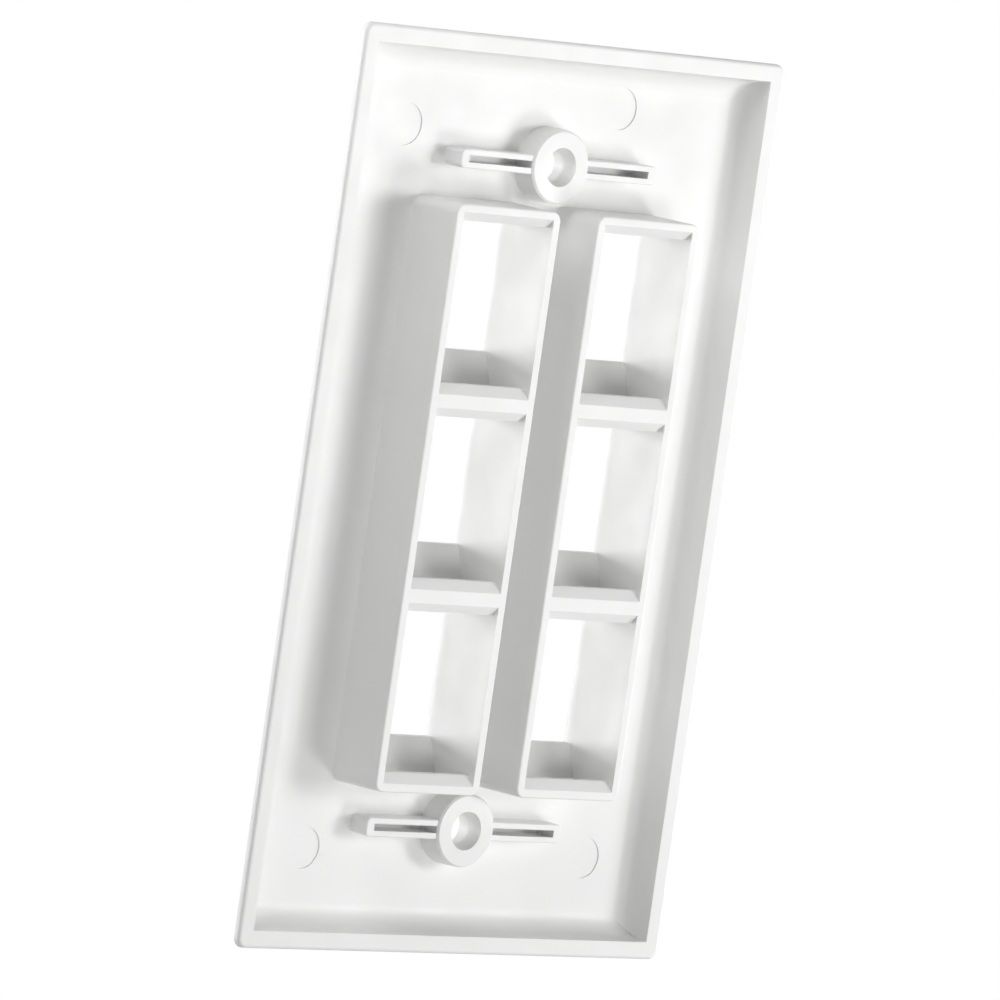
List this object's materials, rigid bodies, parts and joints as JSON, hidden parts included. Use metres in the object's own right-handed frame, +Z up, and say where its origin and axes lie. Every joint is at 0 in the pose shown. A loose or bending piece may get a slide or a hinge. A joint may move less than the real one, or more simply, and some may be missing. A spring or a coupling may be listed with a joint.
{
  "type": "keystone faceplate",
  "caption": "White moulded single-gang wall plate with a grid of keystone jack ports in two upright housings, screw bosses above and below, and a bevelled front.",
  "frame": {"origin": "centre of the wall plane: the rear face of the rim, midway between the two screws", "axes": "+Y out of the back of the plate into the wall, so the front faces -Y; +Z up along the long side, with each port's latch pocket below it; +X to the right as seen from the front"},
  "size_m": [0.0698, 0.0102, 0.1142],
  "materials": {
    "moulding": "white ABS with a satin sheen, smooth in front and a little duller inside the back"
  },
  "bodies": {
    "root": {"faceplate": "moulding"}
  },
  "joints": []
}
